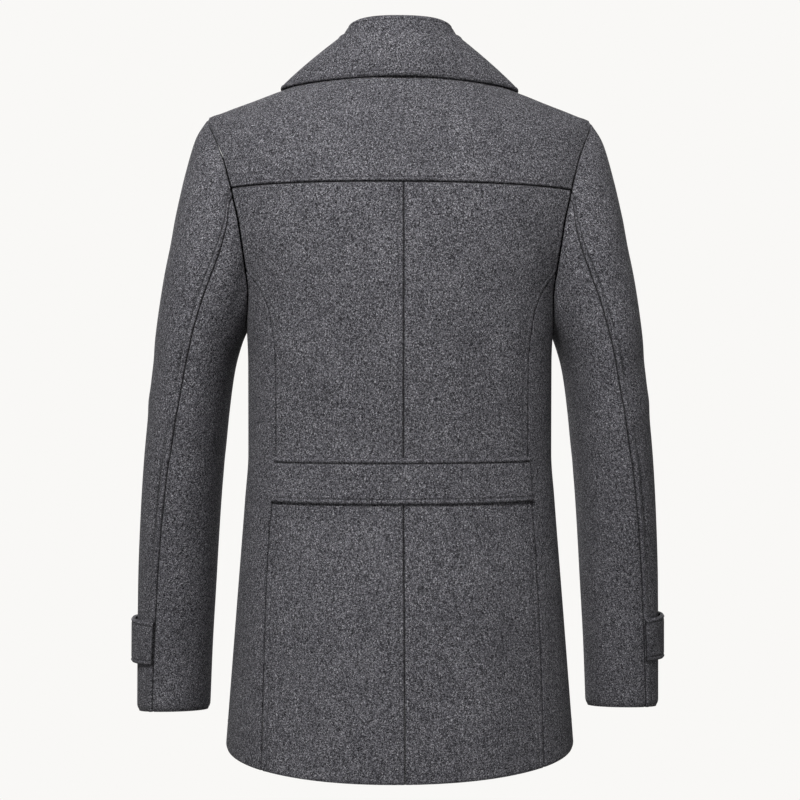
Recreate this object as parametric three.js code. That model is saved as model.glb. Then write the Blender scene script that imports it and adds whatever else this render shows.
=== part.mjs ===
// A mid-length winter coat in wool melton, hollow and in its worn form, in millimetres with +Z up.
// The back faces +Y and the wearer's left is +X. The origin is at the neck seam, centre back height,
// on the shoulder line, which is where the wearer carries the coat.
import * as THREE from "three";

// Cloth and making-up sizes
const wall = 2.6; // pressed melton with its fusing
const seamGap = 0.3; // daylight between two pieces at a seam
const strapWall = 3; // belt and tabs are two layers, pressed flat

// Lengths down the centre back, from the neck seam
const shoulderEnd = 85;
const yokeSeam = 126;
const elbowStart = 135; // where the elbow seam of the sleeve leaves the armhole
const armholeTurn = 212; // where the side-back seam meets the armhole
const underarm = 270;
const beltTop = 409.5;
const beltBottom = 457.5;
const hem = 730;

// Front closing, left over right
const overlap = 28; // each front passes the centre by this much
const liftStart = 60; // the left front begins to rise over the right one this far from the centre
const liftEnd = 31;
const frontLift = wall + 0.6;
const frontButtons = [118, 250, 382, 514]; // lengths down from the neck seam
const buttonRadius = 13;
const tabButtonRadius = 9.5;

// Body rings from the neck seam to the hem. "down" is the drop at the centre back, "side" and "front"
// are the heights of the same ring at the side and the centre front. half is its half width, to which
// tip adds a shoulder point at the very side. back and breast are its depths, and power is 2 for an
// ellipse and more for a squarer ring.
const bodyRings = [
  { down: 0, side: 15, front: -62, half: 75, tip: 0, back: 60, breast: 86, power: 2.0 },
  { down: 24, side: 4, front: -80, half: 104, tip: 0, back: 74, breast: 96, power: 2.03 },
  { down: 50, side: -14, front: -99, half: 152, tip: 0, back: 86, breast: 104, power: 2.06 },
  { down: 76, side: -31.6, front: -115, half: 191, tip: 6.7, back: 96, breast: 110, power: 2.09 },
  { down: 85, side: -38, front: -121, half: 201, tip: 12.5, back: 99, breast: 112, power: 2.1 },
  { down: 95, side: -58, front: -127, half: 207.5, tip: 12, back: 101.5, breast: 114, power: 2.15 },
  { down: 103, side: -75, front: -132, half: 211, tip: 8, back: 103.5, breast: 115.5, power: 2.2 },
  { down: 115, side: -101, front: -139, half: 212.5, tip: 3.5, back: 107, breast: 117.5, power: 2.3 },
  { down: 126, side: -126, front: -146, half: 210.5, tip: 0, back: 109, breast: 119, power: 2.35 },
  { down: 155, side: -155, front: -165, half: 203.7, tip: 0, back: 113, breast: 122, power: 2.4 },
  { down: 187, side: -187, front: -190, half: 192.6, tip: 0, back: 115, breast: 124, power: 2.4 },
  { down: 212, side: -212, front: -213, half: 181.5, tip: 0, back: 115.3, breast: 124.5, power: 2.4 },
  { down: 238, side: -238, front: -238, half: 173.5, tip: 0, back: 114.5, breast: 124.5, power: 2.4 },
  { down: 270, side: -270, front: -270, half: 170.2, tip: 0, back: 113, breast: 124, power: 2.38 },
  { down: 310, side: -310, front: -310, half: 168.6, tip: 0, back: 110.5, breast: 122, power: 2.35 },
  { down: 409, side: -409, front: -409, half: 168.6, tip: 0, back: 105, breast: 117, power: 2.3 },
  { down: 457, side: -457, front: -457, half: 172, tip: 0, back: 107, breast: 119, power: 2.28 },
  { down: 574, side: -574, front: -574, half: 181, tip: 0, back: 126, breast: 132, power: 2.2 },
  { down: 730, side: -730, front: -730, half: 193, tip: 0, back: 150, breast: 150, power: 2.1 },
];

// Edges of the panels as ring angles in degrees: back is measured from the centre back, front from the
// centre front. Above armholeTurn they are the armhole, below it the side-back seam.
const armhole = [
  { down: 85, back: 90, front: 90 },
  { down: 88, back: 79.7, front: 79.5 },
  { down: 91, back: 75.3, front: 75 },
  { down: 95, back: 69.7, front: 69.5 },
  { down: 103, back: 64, front: 63.5 },
  { down: 115, back: 59, front: 58 },
  { down: 126, back: 57, front: 56.5 },
  { down: 155, back: 56, front: 55.5 },
  { down: 187, back: 59, front: 59 },
  { down: 212, back: 64.5, front: 64.5 },
];
const sideBackSeam = [
  { down: 212, angle: 64.5 },
  { down: 235, angle: 56.5 },
  { down: 262, angle: 51.5 },
  { down: 310, angle: 49.5 },
  { down: 430, angle: 50.4 },
  { down: 500, angle: 51.6 },
  { down: 730, angle: 48.5 },
];

// Lengths at which each panel has a row of points
const neckRows = [0, 12, 24, 37, 50, 63, 76, shoulderEnd];
const yokeRows = [...neckRows, 87, 91, 97, 106, 116, yokeSeam];
const backRows = [yokeSeam, elbowStart, 150, 170, 191, armholeTurn];
const lowerRows = [
  armholeTurn, 235, 262, 290, 330, 370, beltTop, 433.5, beltBottom, 505, 560, 615, 670, hem,
];

// Sleeve rings from the armhole to the cuff. Each ring is an ellipse through an outer and an inner point
// in the plane of the shoulders, with its half depth, the centre's offset to the back, the place of the
// elbow seam in degrees round from the outer point towards the back, and how much higher the back is.
const sleeveRings = [
  { ring: 0, outX: 213.5, outZ: -38, inX: 170.9, inZ: -269, depth: 70, centre: 0, elbow: 82, rise: 0 },
  { ring: 1, outX: 225.5, outZ: -58, inX: 174, inZ: -275, depth: 76, centre: 0, elbow: 92, rise: 0 },
  { ring: 2, outX: 236.5, outZ: -95, inX: 177.5, inZ: -285, depth: 79, centre: 0, elbow: 97, rise: 0 },
  { ring: 3, outX: 246, outZ: -137, inX: 181, inZ: -299, depth: 80, centre: 0, elbow: 98, rise: 0 },
  { ring: 4, outX: 255, outZ: -183, inX: 184.5, inZ: -316, depth: 80, centre: 0, elbow: 98, rise: 0 },
  { ring: 5, outX: 263, outZ: -230, inX: 187.5, inZ: -336, depth: 79, centre: 0, elbow: 96, rise: 0 },
  { ring: 6, outX: 270.5, outZ: -283, inX: 191, inZ: -364, depth: 77, centre: -1, elbow: 92, rise: 0 },
  { ring: 7, outX: 277, outZ: -350, inX: 195, inZ: -403, depth: 74, centre: -3, elbow: 86, rise: 0 },
  { ring: 8, outX: 284, outZ: -417, inX: 199.5, inZ: -449, depth: 70, centre: -6, elbow: 80, rise: 0 },
  { ring: 9, outX: 289, outZ: -484, inX: 203.5, inZ: -503, depth: 65, centre: -10, elbow: 76, rise: 1 },
  { ring: 10, outX: 292.3, outZ: -550, inX: 207.2, inZ: -560, depth: 61, centre: -14, elbow: 72, rise: 3 },
  { ring: 11, outX: 294, outZ: -622, inX: 211.5, inZ: -626, depth: 57, centre: -18, elbow: 69, rise: 7 },
  { ring: 12, outX: 295.3, outZ: -700, inX: 215, inZ: -700, depth: 54, centre: -22, elbow: 66, rise: 11 },
];
const sleeveRows = [0, 0.5, 1, 2, 3, 4, 5, 6, 7, 8, 9, 10, 11, 12];
const headBlend = 5; // rings over which the armhole's own outline fades into the sleeve's ellipse
const sleeveGap = 0.45; // measured round the sleeve, which is slanted to the seams near its head

// Collar rings: the fold line and lower edge of the turned-down collar, and the top of the inner stand.
// power shapes the back half of the ring: 2 for an ellipse, more for a flatter back.
const collarFold = {
  halfWidth: 66.5, back: 56.5, front: 84, zBack: 39.5, zSide: 48, zFront: -14, power: 2.5,
};
const collarEdge = {
  halfWidth: 133, back: 68, front: 116, zBack: -5.5, zSide: -3, zFront: -86, power: 1.5,
};
const standTop = {
  halfWidth: 55, back: 45, front: 66, zBack: 65.5, zSide: 66, zFront: 16, power: 2.4,
};
const foldRadius = 2.5; // half the distance between the collar's two layers at the fold
const collarBulge = 3;
const collarEnd = 177; // ring angle of the collar's two ends at the centre front
const collarColumns = 36;

// Cuff tab, sewn into the elbow seam and buttoned towards the front
const tabTop = 10.6; // sleeve ring numbers of its long edges
const tabBottom = 11.28;
const tabEnd = -72; // sleeve angle of its point
const tabLift = 3.2; // how far it stands off the sleeve half way round
const tabColumns = 12;

const degrees = Math.PI / 180;
const up = new THREE.Vector3(0, 0, 1);

const melton = (shade) =>
  new THREE.MeshStandardMaterial({ color: shade, roughness: 0.95, metalness: 0 });
const cloth = melton(0x3d3d40);
const strapCloth = melton(0x38383b);
const button = new THREE.MeshStandardMaterial({ color: 0x1d1b1a, roughness: 0.4, metalness: 0 });

// A smooth value between the rows of a table, which never swings past the rows on either side
function read(rows, key, column, at) {
  let i = 0;
  while (i < rows.length - 2 && at > rows[i + 1][key]) i++;
  const secant = (j) =>
    (rows[j + 1][column] - rows[j][column]) / (rows[j + 1][key] - rows[j][key]);
  const slope = (j) => {
    if (j === 0) return secant(0);
    if (j === rows.length - 1) return secant(j - 1);
    const before = secant(j - 1);
    const after = secant(j);
    return before * after > 0 ? (2 * before * after) / (before + after) : 0;
  };
  const span = rows[i + 1][key] - rows[i][key];
  const q = (at - rows[i][key]) / span;
  const blend = q * q * (3 - 2 * q);
  return (
    rows[i][column] * (1 - blend) +
    rows[i + 1][column] * blend +
    span * (slope(i) * q * (1 - q) ** 2 - slope(i + 1) * q * q * (1 - q))
  );
}

const tipPower = 8; // how close to the side the shoulder point stays
const ringDip = 1.5; // how a ring's height falls from its sides towards its back and front
const signedPower = (value, power) => Math.sign(value) * Math.abs(value) ** power;
const smoothStep = (q) => THREE.MathUtils.smoothstep(q, 0, 1);
const mixed = (a, b, q) => a.clone().lerp(b, q);

// A point of the body, at a ring angle from the centre back towards the wearer's left, in radians
function bodyPoint(angle, down) {
  const size = (column) => read(bodyRings, "down", column, down);
  const bend = 2 / size("power");
  const across = Math.sin(angle);
  const along = Math.cos(angle);
  const depth = along > 0 ? size("back") : size("breast");
  const middle = along > 0 ? -down : size("front");
  return new THREE.Vector3(
    (size("half") + size("tip") * across ** tipPower) * signedPower(across, bend),
    depth * signedPower(along, bend),
    size("side") + (middle - size("side")) * Math.abs(along) ** ringDip,
  );
}

function bodyNormal(angle, down) {
  const turn = 0.004;
  const drop = 0.5;
  const round = bodyPoint(angle + turn, down).sub(bodyPoint(angle - turn, down));
  const fall = bodyPoint(angle, down + drop).sub(bodyPoint(angle, down - drop));
  return round.cross(fall).normalize();
}

// The angle from the centre at which a ring lies x to the wearer's left
function ringAngle(x, down) {
  const share = Math.abs(x) / read(bodyRings, "down", "half", down);
  return Math.sign(x) * Math.asin(share ** (read(bodyRings, "down", "power", down) / 2));
}
const frontAngle = (x, down) => Math.PI - ringAngle(x, down);

const armholeBack = (down) => read(armhole, "down", "back", down) * degrees;
const armholeFront = (down) => Math.PI - read(armhole, "down", "front", down) * degrees;
const sideBack = (down) => read(sideBackSeam, "down", "angle", down) * degrees;

// Half a seam gap as a ring angle
const halfGap = (down) => seamGap / 2 / read(bodyRings, "down", "back", down);

// A cloth point with its twin on the lining side, the face standing out by "lift"
function bodyPair(angle, down, lift = 0, thickness = wall) {
  const point = bodyPoint(angle, down);
  const normal = bodyNormal(angle, down);
  return {
    face: point.clone().addScaledVector(normal, lift),
    lining: point.clone().addScaledVector(normal, lift - thickness),
  };
}

// A closed piece of cloth from nets of paired points. Points that two nets share are joined, the rim is
// closed, and the triangles are turned so that they point out.
function piece(nets) {
  const found = new Map();
  const pairs = [];
  const faces = [];
  const edges = new Map();
  const indexOf = (pair) => {
    const key = pair.face.toArray().map((v) => Math.round(v * 200)).join(" ");
    if (!found.has(key)) {
      found.set(key, pairs.length);
      pairs.push(pair);
    }
    return found.get(key);
  };
  const addFace = (corners) => {
    faces.push(corners);
    corners.forEach((from, i) => {
      const to = corners[(i + 1) % 3];
      if (!edges.delete(to + " " + from)) edges.set(from + " " + to, [from, to]);
    });
  };
  for (const net of nets)
    for (let r = 0; r + 1 < net.length; r++)
      for (let c = 0; c + 1 < net[r].length; c++) {
        const [a, b] = [indexOf(net[r][c]), indexOf(net[r][c + 1])];
        const [d, e] = [indexOf(net[r + 1][c]), indexOf(net[r + 1][c + 1])];
        addFace([a, b, e]);
        addFace([a, e, d]);
      }
  const half = pairs.length;
  const positions = new Float32Array(6 * half);
  pairs.forEach((pair, i) => {
    positions.set(pair.face.toArray(), 3 * i);
    positions.set(pair.lining.toArray(), 3 * (half + i));
  });
  const triangles = [];
  for (const [a, b, c] of faces) triangles.push([a, b, c], [half + a, half + c, half + b]);
  for (const [a, b] of edges.values()) triangles.push([b, a, half + a], [b, half + a, half + b]);
  let volume = 0;
  const corner = (i) => new THREE.Vector3().fromArray(positions, 3 * i);
  for (const [a, b, c] of triangles) volume += corner(a).dot(corner(b).cross(corner(c)));
  const outward = volume > 0 ? triangles : triangles.map(([a, b, c]) => [a, c, b]);
  const geometry = new THREE.BufferGeometry();
  geometry.setAttribute("position", new THREE.BufferAttribute(positions, 3));
  geometry.setIndex(outward.flat());
  return geometry;
}

const mirroredPair = ({ face, lining }) => ({
  face: new THREE.Vector3(-face.x, face.y, face.z),
  lining: new THREE.Vector3(-lining.x, lining.y, lining.z),
});
const mirrored = (net) => net.map((row) => row.map(mirroredPair));

const coat = new THREE.Group();

function add(name, nets, material) {
  const mesh = new THREE.Mesh(piece(nets), material);
  mesh.name = name;
  coat.add(mesh);
}

const steps = (from, to, count) =>
  Array.from({ length: count + 1 }, (_, i) => from + ((to - from) * i) / count);

// Back yoke: one piece across the shoulders, from the neck seam to the yoke seam
function yokeNet() {
  return yokeRows.map((down) => {
    const edge = down <= shoulderEnd ? Math.PI / 2 - halfGap(down) : armholeBack(down);
    const row = down === yokeSeam ? down - seamGap / 2 : down;
    return steps(-edge, edge, 16).map((angle) => bodyPair(angle, row));
  });
}

// Back panel, from the centre-back seam to the armhole and the side-back seam
function backNet() {
  const rows = [...backRows, ...lowerRows.slice(1)];
  return rows.map((down) => {
    const seam = down < armholeTurn ? armholeBack(down) : sideBack(down) - halfGap(down);
    const row = down === yokeSeam ? down + seamGap / 2 : down;
    return steps(ringAngle(seamGap / 2, down), seam, 6).map((angle) => bodyPair(angle, row));
  });
}

// The part of a front that passes under the arm, from the side-back seam to below the front armhole.
// Its rows dip below the arm, so that the top one is the bottom of the armhole.
const sideColumns = 8;
const dipFade = 200;
function sideRow(down) {
  const dip = (underarm - armholeTurn) * Math.max(0, 1 - (down - armholeTurn) / dipFade) ** 2;
  const start = sideBack(down) + halfGap(down);
  const end = armholeFront(armholeTurn);
  return steps(0, 1, sideColumns).map((q) => {
    const off = Math.abs(2 * q - 1);
    return [start + (end - start) * q, down + dip * (1 - off ** 2.4)];
  });
}

// Front, with its share of the side. The left one rises to lie over the right one.
function frontNets(lifted) {
  const liftAt = (x) =>
    lifted ? frontLift * smoothStep((liftStart - x) / (liftStart - liftEnd)) : 0;
  const rows = [...yokeRows.slice(0, -1), ...backRows, ...lowerRows.slice(1)];
  const chest = rows.map((down) => {
    let edge = armholeFront(armholeTurn);
    if (down <= armholeTurn) edge = armholeFront(down);
    if (down <= shoulderEnd) edge = Math.PI / 2 + halfGap(down);
    const flat = steps(edge, frontAngle(liftStart, down), 6).map((angle) => bodyPair(angle, down));
    const closing = [52, 42, liftEnd, 16, 0, -overlap / 2, -overlap].map((x) =>
      bodyPair(frontAngle(x, down), down, liftAt(x)),
    );
    return [...flat, ...closing];
  });
  const side = lowerRows.map((down) =>
    sideRow(down).map(([angle, at]) => bodyPair(angle, at)),
  );
  return [chest, side];
}

add("yoke_back", [yokeNet()], cloth);
const back = backNet();
add("back_left", [back], cloth);
add("back_right", [mirrored(back)], cloth);
add("front_left", frontNets(true), cloth);
add("front_right", frontNets(false).map(mirrored), cloth);

// The armhole as a loop of points on the body: down the back, under the arm and up the front
function armholeLoop() {
  const backEdge = [...yokeRows.slice(neckRows.length - 1, -1), ...backRows];
  const under = sideRow(armholeTurn).slice(1, -1);
  const frontEdge = backEdge.slice(1).reverse();
  return [
    ...backEdge.map((down) => [armholeBack(down), down]),
    ...under,
    ...frontEdge.map((down) => [armholeFront(down), down]),
  ];
}

// A point of the sleeve's own ellipse, with the angle in radians from its outer point to the back
function sleevePoint(angle, ring) {
  const size = (column) => read(sleeveRings, "ring", column, ring);
  const outer = new THREE.Vector3(size("outX"), 0, size("outZ"));
  const inner = new THREE.Vector3(size("inX"), 0, size("inZ"));
  const point = mixed(inner, outer, (1 + Math.cos(angle)) / 2);
  point.y = size("centre") + size("depth") * Math.sin(angle);
  point.z += size("rise") * Math.sin(angle);
  return point;
}

// The whole sleeve as a closed net, with its elbow and forearm columns
function sleeveNet() {
  const loop = armholeLoop();
  const seam = loop.map(([angle, down]) => bodyPoint(angle, down));
  const count = seam.length;
  const middle = seam.reduce((sum, p) => sum.add(p), new THREE.Vector3()).divideScalar(count);
  const elbowColumn = loop.findIndex(([, down]) => down === elbowStart);
  const turnColumn = loop.findIndex(([, down]) => down === armholeTurn);
  const forearmColumn = turnColumn + sideColumns + 2;
  const centre = mixed(sleevePoint(0, 0), sleevePoint(Math.PI, 0), 0.5);
  const reach = sleevePoint(0, 0).sub(centre);

  // Away from the body along its surface, across the armhole seam
  const away = seam.map((point, i) => {
    const along = seam[(i + 1) % count].clone().sub(seam[(i + count - 1) % count]);
    const direction = along.cross(bodyNormal(...loop[i])).normalize();
    return direction.dot(middle.clone().sub(point)) > 0 ? direction : direction.negate();
  });
  const start = seam.map((point, i) => point.clone().addScaledVector(away[i], seamGap));
  const angles = start.map((point) => {
    const along = point.clone().sub(centre).dot(reach) / reach.lengthSq();
    const turn = Math.atan2(point.y / sleeveRings[0].depth, along);
    return turn;
  });
  angles[0] = 0;

  const turned = (angle, ring) => {
    const first = angles[elbowColumn];
    const shift = read(sleeveRings, "ring", "elbow", ring) * degrees - first;
    const size = Math.abs(angle);
    const share = size < first ? size / first : (Math.PI - size) / (Math.PI - first);
    return angle > 0 ? angle + shift * share * smoothStep(ring) : angle;
  };
  const rows = sleeveRows.map((ring) =>
    angles.map((angle, i) => {
      const fade = 1 - smoothStep(ring / headBlend);
      const own = start[i].clone().sub(sleevePoint(angle, 0));
      return sleevePoint(turned(angle, ring), ring).addScaledVector(own, fade);
    }),
  );
  const normals = rows.map((row, r) =>
    row.map((_, i) => {
      const round = row[(i + 1) % count].clone().sub(row[(i + count - 1) % count]);
      const before = rows[Math.max(r - 1, 0)][i];
      const after = rows[Math.min(r + 1, rows.length - 1)][i];
      return after.clone().sub(before).cross(round).normalize();
    }),
  );
  const lining = rows.map((row, r) =>
    row.map((point, i) => {
      const inward = normals[r][i].clone().negate();
      if (r === 0) inward.addScaledVector(away[i], -Math.min(0, inward.dot(away[i]))).normalize();
      return point.clone().addScaledVector(inward, wall);
    }),
  );
  return { rows, lining, count, elbowColumn, forearmColumn };
}

// One of the two sleeve pieces, between two columns of the net
function sleevePart(sleeve, from, to) {
  const columns = to > from ? to - from : to - from + sleeve.count;
  return sleeve.rows.map((row, r) =>
    steps(0, columns, columns).map((k) => {
      const i = (from + k) % sleeve.count;
      const next = row[(i + 1) % sleeve.count].clone();
      const along = next.sub(row[(i + sleeve.count - 1) % sleeve.count]).normalize();
      let part = 0;
      if (k === 0) part = sleeveGap / 2;
      if (k === columns) part = -sleeveGap / 2;
      return {
        face: row[i].clone().addScaledVector(along, part),
        lining: sleeve.lining[r][i].clone().addScaledVector(along, part),
      };
    }),
  );
}

const sleeve = sleeveNet();
const underSleeve = sleevePart(sleeve, sleeve.elbowColumn, sleeve.forearmColumn);
const topSleeve = sleevePart(sleeve, sleeve.forearmColumn, sleeve.elbowColumn);
add("sleeve_top_left", [topSleeve], cloth);
add("sleeve_top_right", [mirrored(topSleeve)], cloth);
add("sleeve_under_left", [underSleeve], cloth);
add("sleeve_under_right", [mirrored(underSleeve)], cloth);

// A point of a collar ring at a ring angle in radians
function collarPoint(ring, angle) {
  const along = Math.cos(angle);
  const depth = along > 0 ? ring.back : ring.front;
  const middle = along > 0 ? ring.zBack : ring.zFront;
  const drop = Math.abs(along) ** (along > 0 ? 2 : 1.8);
  const bend = along > 0 ? 2 / ring.power : 1;
  return new THREE.Vector3(
    ring.halfWidth * signedPower(Math.sin(angle), bend),
    depth * signedPower(along, bend),
    ring.zSide + (middle - ring.zSide) * drop,
  );
}

// Where a collar's stand begins: on the middle of the body's neck edge, just clear of it
function neckBase(angle) {
  return bodyPoint(angle, 0)
    .addScaledVector(bodyNormal(angle, 0), -wall / 2)
    .addScaledVector(up, 2.2);
}

// Paired points along a profile in the upright plane of "outward", the face on its rounded side
function profilePairs(points, outward) {
  return points.map((point, i) => {
    const before = points[Math.max(i - 1, 0)];
    const after = points[Math.min(i + 1, points.length - 1)];
    const along = after.clone().sub(before);
    const side = new THREE.Vector3()
      .addScaledVector(outward, -along.z)
      .addScaledVector(up, along.dot(outward))
      .normalize();
    return {
      face: point.clone().addScaledVector(side, wall / 2),
      lining: point.clone().addScaledVector(side, -wall / 2),
    };
  });
}

const collarAngles = steps(-collarEnd * degrees, collarEnd * degrees, collarColumns);

// The turned-down collar: stand, fold and fall in one piece round the neck
function collarNet() {
  return collarAngles.map((angle) => {
    const base = neckBase(angle);
    const fold = collarPoint(collarFold, angle);
    const edge = collarPoint(collarEdge, angle);
    const outward = edge.clone().sub(base).setZ(0).normalize();
    const atFold = (turn) =>
      fold
        .clone()
        .addScaledVector(outward, -foldRadius * Math.cos(turn))
        .addScaledVector(up, foldRadius * Math.sin(turn));
    const stand = mixed(base, atFold(0), 0.5);
    const fall = [0.3, 0.65, 1].map((q) =>
      mixed(atFold(Math.PI), edge, q).addScaledVector(outward, collarBulge * 4 * q * (1 - q)),
    );
    const turns = [0, 60, 120, 180].map((turn) => atFold(turn * degrees));
    return profilePairs([base, stand, ...turns, ...fall], outward);
  });
}

// The inner stand: a plain band inside the collar that rises above its fold
function standNet() {
  return collarAngles.map((angle) => {
    const outward = new THREE.Vector3(Math.sin(angle), Math.cos(angle), 0);
    const base = neckBase(angle).addScaledVector(outward, -wall - 1);
    const top = collarPoint(standTop, angle);
    return profilePairs([base, mixed(base, top, 0.35), mixed(base, top, 0.7), top], outward);
  });
}

add("collar", [collarNet()], cloth);
add("collar_stand", [standNet()], cloth);

// Half belt across the back, on the two back panels, with its ends in the side-back seams
function beltNet() {
  return lowerRows
    .filter((down) => down >= beltTop && down <= beltBottom)
    .map((down) => {
      const end = sideBack(down) - halfGap(down);
      return steps(-end, end, 12).map((angle) =>
        bodyPair(angle, down, seamGap + strapWall, strapWall),
      );
    });
}

add("belt_back", [beltNet()], strapCloth);

function sleeveNormal(angle, ring) {
  const turn = 0.01;
  const step = 0.02;
  const round = sleevePoint(angle + turn, ring).sub(sleevePoint(angle - turn, ring));
  const fall = sleevePoint(angle, ring + step).sub(sleevePoint(angle, ring - step));
  return fall.cross(round).normalize();
}

// How far the tab's under face stands off the sleeve, q of the way from its seam to its point
const tabStand = (q) => seamGap + 0.2 + tabLift * Math.sin(Math.PI * Math.min(1, q * 1.15)) ** 2;

function tabNet() {
  const middle = (tabTop + tabBottom) / 2;
  const half = (tabBottom - tabTop) / 2;
  return steps(0, 1, tabColumns).map((q) => {
    const taper = q > 0.84 ? 1 - 0.62 * ((q - 0.84) / 0.16) : 1;
    return steps(-1, 1, 3).map((side) => {
      const ring = middle + half * taper * side;
      const start = read(sleeveRings, "ring", "elbow", ring) * degrees;
      const angle = start + (tabEnd * degrees - start) * q;
      const point = sleevePoint(angle, ring);
      const normal = sleeveNormal(angle, ring);
      return {
        face: point.clone().addScaledVector(normal, tabStand(q) + strapWall),
        lining: point.clone().addScaledVector(normal, tabStand(q)),
      };
    });
  });
}

const tab = tabNet();
add("cuff_tab_left", [tab], strapCloth);
add("cuff_tab_right", [mirrored(tab)], strapCloth);

// A sewn button with a raised rim, its back on the plane z = 0
function buttonGeometry(radius) {
  const profile = [
    [0, 0],
    [radius * 0.84, 0],
    [radius, 1.2],
    [radius, 2.6],
    [radius * 0.84, 3.3],
    [radius * 0.64, 2.3],
    [0, 2.1],
  ].map(([across, high]) => new THREE.Vector2(across, high));
  return new THREE.LatheGeometry(profile, 16).rotateX(Math.PI / 2);
}

function addButton(name, radius, place, normal) {
  const mesh = new THREE.Mesh(buttonGeometry(radius), button);
  mesh.name = name;
  mesh.position.copy(place);
  mesh.quaternion.setFromUnitVectors(up, normal);
  coat.add(mesh);
}

frontButtons.forEach((down, i) => {
  const angle = frontAngle(0, down);
  const normal = bodyNormal(angle, down);
  const place = bodyPoint(angle, down).addScaledVector(normal, frontLift + 2 * seamGap);
  addButton("button_front_" + (i + 1), buttonRadius, place, normal);
});

const tabButton = { q: 0.86, ring: (tabTop + tabBottom) / 2 };
for (const [name, sign] of [["left", 1], ["right", -1]]) {
  const start = read(sleeveRings, "ring", "elbow", tabButton.ring) * degrees;
  const angle = start + (tabEnd * degrees - start) * tabButton.q;
  const normal = sleeveNormal(angle, tabButton.ring);
  const place = sleevePoint(angle, tabButton.ring);
  place.addScaledVector(normal, tabStand(tabButton.q) + strapWall + seamGap + 0.4);
  place.x *= sign;
  normal.x *= sign;
  addButton("button_cuff_" + name, tabButtonRadius, place, normal);
}

export default coat;
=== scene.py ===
# A mid-length winter coat in grey melange wool melton, seen from the back, hollow and in its worn form.
import math
from functools import lru_cache

import bmesh
import bpy
from mathutils import Matrix, Vector


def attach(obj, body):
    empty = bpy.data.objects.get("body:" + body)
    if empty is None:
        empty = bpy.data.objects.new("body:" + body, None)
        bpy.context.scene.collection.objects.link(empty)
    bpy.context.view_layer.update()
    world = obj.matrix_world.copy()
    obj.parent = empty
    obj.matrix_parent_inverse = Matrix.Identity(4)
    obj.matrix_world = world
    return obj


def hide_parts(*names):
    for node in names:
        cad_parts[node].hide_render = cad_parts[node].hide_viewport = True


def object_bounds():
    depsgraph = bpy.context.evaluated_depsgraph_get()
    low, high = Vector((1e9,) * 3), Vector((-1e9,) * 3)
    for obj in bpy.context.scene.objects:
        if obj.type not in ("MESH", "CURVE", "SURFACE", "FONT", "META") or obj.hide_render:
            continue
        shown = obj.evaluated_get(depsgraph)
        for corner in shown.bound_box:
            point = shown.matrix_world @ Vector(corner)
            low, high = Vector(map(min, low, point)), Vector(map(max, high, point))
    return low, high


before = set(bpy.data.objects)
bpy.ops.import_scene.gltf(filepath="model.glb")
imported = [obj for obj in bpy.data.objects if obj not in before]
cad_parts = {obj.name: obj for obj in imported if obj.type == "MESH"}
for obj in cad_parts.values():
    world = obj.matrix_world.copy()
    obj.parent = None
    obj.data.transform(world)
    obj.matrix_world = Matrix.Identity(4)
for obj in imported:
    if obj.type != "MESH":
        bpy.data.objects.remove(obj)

cad_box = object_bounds()

# The studio: a pale floor below the coat, a pale surround, one large soft light above the camera, a
# weaker one on each side of the front, and a 50 mm lens 1.25 m behind the wearer, level with the waist.
CAMERA_DISTANCE = 1.25
CAMERA_HEIGHT = -0.350
CAMERA_TURN = math.radians(178)
LENS_MM = 50.2
SENSOR_MM = 36
FLOOR_HEIGHT = cad_box[0][2] - 0.25
FLOOR_RADIUS = 9
SURROUND_LIGHT = 0.09
PALE = "f9f8f6"


def linear(sRGB):
    """A hex colour as Blender's linear red, green, blue and alpha."""
    parts = [int(sRGB[i:i + 2], 16) / 255 for i in (0, 2, 4)]
    return [p / 12.92 if p <= 0.04045 else ((p + 0.055) / 1.055) ** 2.4 for p in parts] + [1.0]


def node(tree, kind, settings=None, links=None, **attributes):
    """Adds a node. settings gives its sockets' values, and links the outputs that feed them."""
    made = tree.nodes.new(kind)
    for key, value in attributes.items():
        setattr(made, key, value)
    for key, value in (settings or {}).items():
        made.inputs[key].default_value = value
    for key, value in (links or {}).items():
        tree.links.new(value, made.inputs[key])
    return made


def add_object(name, data):
    made = bpy.data.objects.new(name, data)
    bpy.context.scene.collection.objects.link(made)
    return made


def new_finish(name):
    """A material and its Principled BSDF."""
    made = bpy.data.materials.new(name)
    made.use_nodes = True
    return made, made.node_tree.nodes["Principled BSDF"]


camera = add_object("camera", bpy.data.cameras.new("camera"))
camera.data.lens = LENS_MM
camera.data.sensor_width = SENSOR_MM
camera.location = (
    CAMERA_DISTANCE * math.sin(CAMERA_TURN), -CAMERA_DISTANCE * math.cos(CAMERA_TURN), CAMERA_HEIGHT)
camera.rotation_euler = (math.pi / 2, 0, CAMERA_TURN)
bpy.context.scene.camera = camera
bpy.context.scene.view_settings.view_transform = "Standard"

world = bpy.data.worlds.new("studio")
bpy.context.scene.world = world
world.use_nodes = True
world.node_tree.nodes.clear()
seen = node(world.node_tree, "ShaderNodeBackground", {"Color": linear(PALE), "Strength": 1.0})
lit = node(world.node_tree, "ShaderNodeBackground", {
    "Color": linear(PALE), "Strength": SURROUND_LIGHT})
ray = node(world.node_tree, "ShaderNodeLightPath")
both = node(world.node_tree, "ShaderNodeMixShader", links={
    0: ray.outputs["Is Camera Ray"], 1: lit.outputs[0], 2: seen.outputs[0]})
node(world.node_tree, "ShaderNodeOutputWorld", links={0: both.outputs[0]})

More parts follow.
